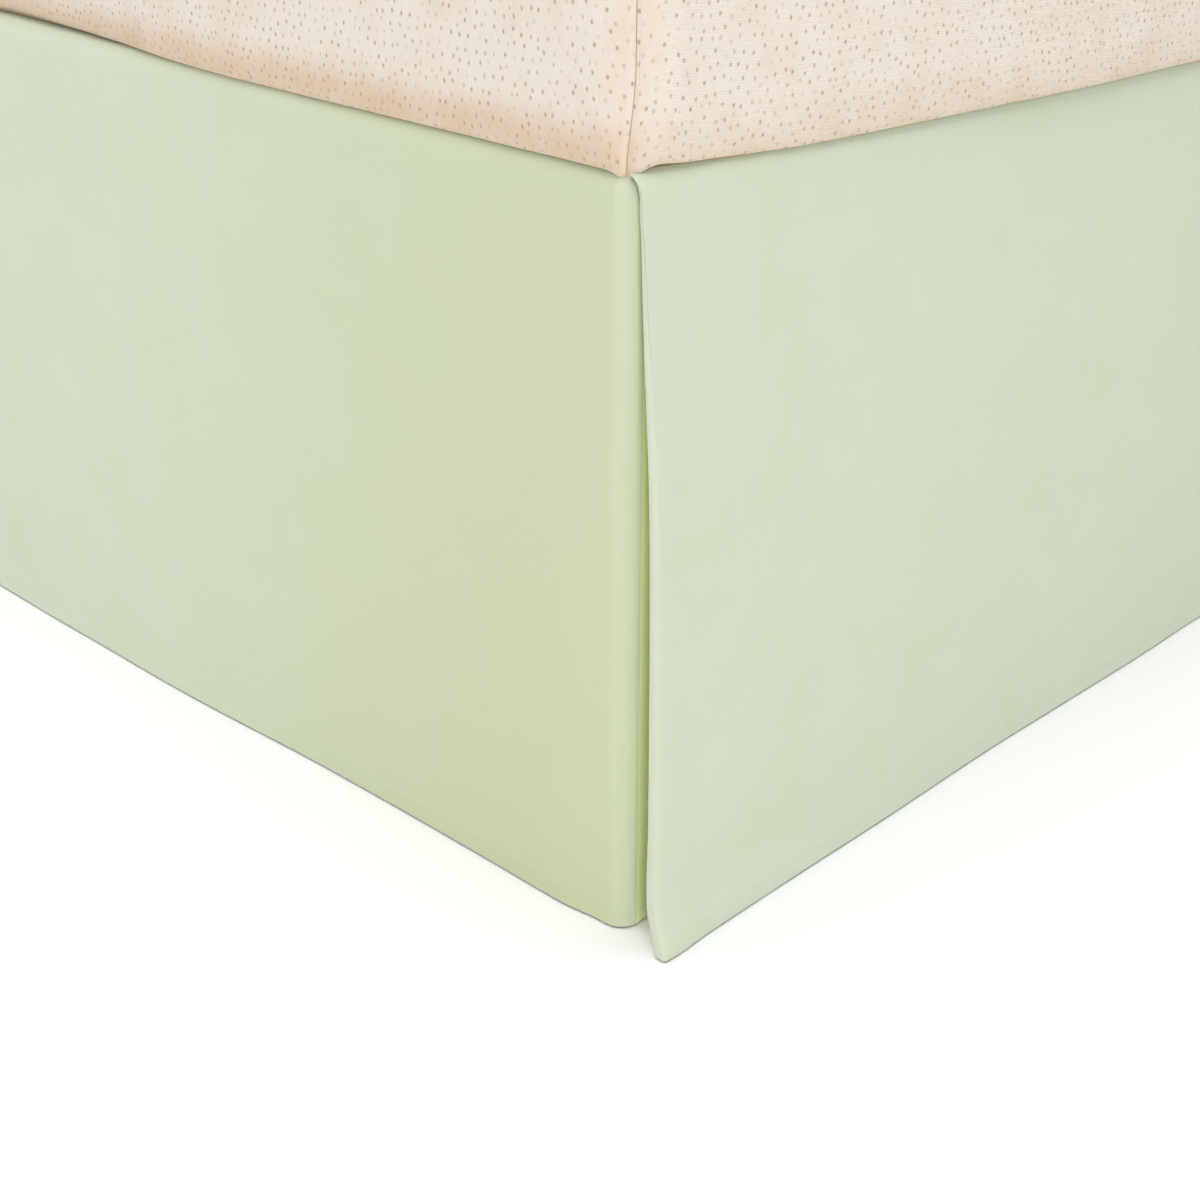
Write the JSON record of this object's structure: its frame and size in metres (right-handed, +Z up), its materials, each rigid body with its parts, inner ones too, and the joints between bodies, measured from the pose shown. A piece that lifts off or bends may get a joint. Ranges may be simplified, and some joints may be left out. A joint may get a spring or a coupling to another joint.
{
  "type": "bed skirt on a mattress and box spring",
  "caption": "Tailored bed skirt with smooth drops and folded corner pleats, held by its deck between a plain mattress and a box spring on legs.",
  "frame": {"origin": "on the floor, under the centre of the whole object's box", "axes": "+Z up; the foot of the bed faces -Y and its head faces +Y; +X is the right side as seen from the foot"},
  "size_m": [1.5958, 2.083, 0.6433],
  "materials": {
    "skirt_cloth": "smooth matte fine plain weave, pale sage green",
    "deck_cloth": "matte plain weave",
    "mattress_knit": "cream knit with small dimples",
    "box_cover": "matte plain cover cloth",
    "leg_wood": "satin varnish"
  },
  "bodies": {
    "root": {"deck": "deck_cloth", "foot_drop": "skirt_cloth", "right_drop": "skirt_cloth", "left_drop": "skirt_cloth", "mattress": "mattress_knit", "box_spring": "box_cover", "leg_foot_left": "leg_wood", "leg_foot_right": "leg_wood", "leg_middle_left": "leg_wood", "leg_middle_right": "leg_wood", "leg_head_left": "leg_wood", "leg_head_right": "leg_wood"}
  },
  "joints": []
}
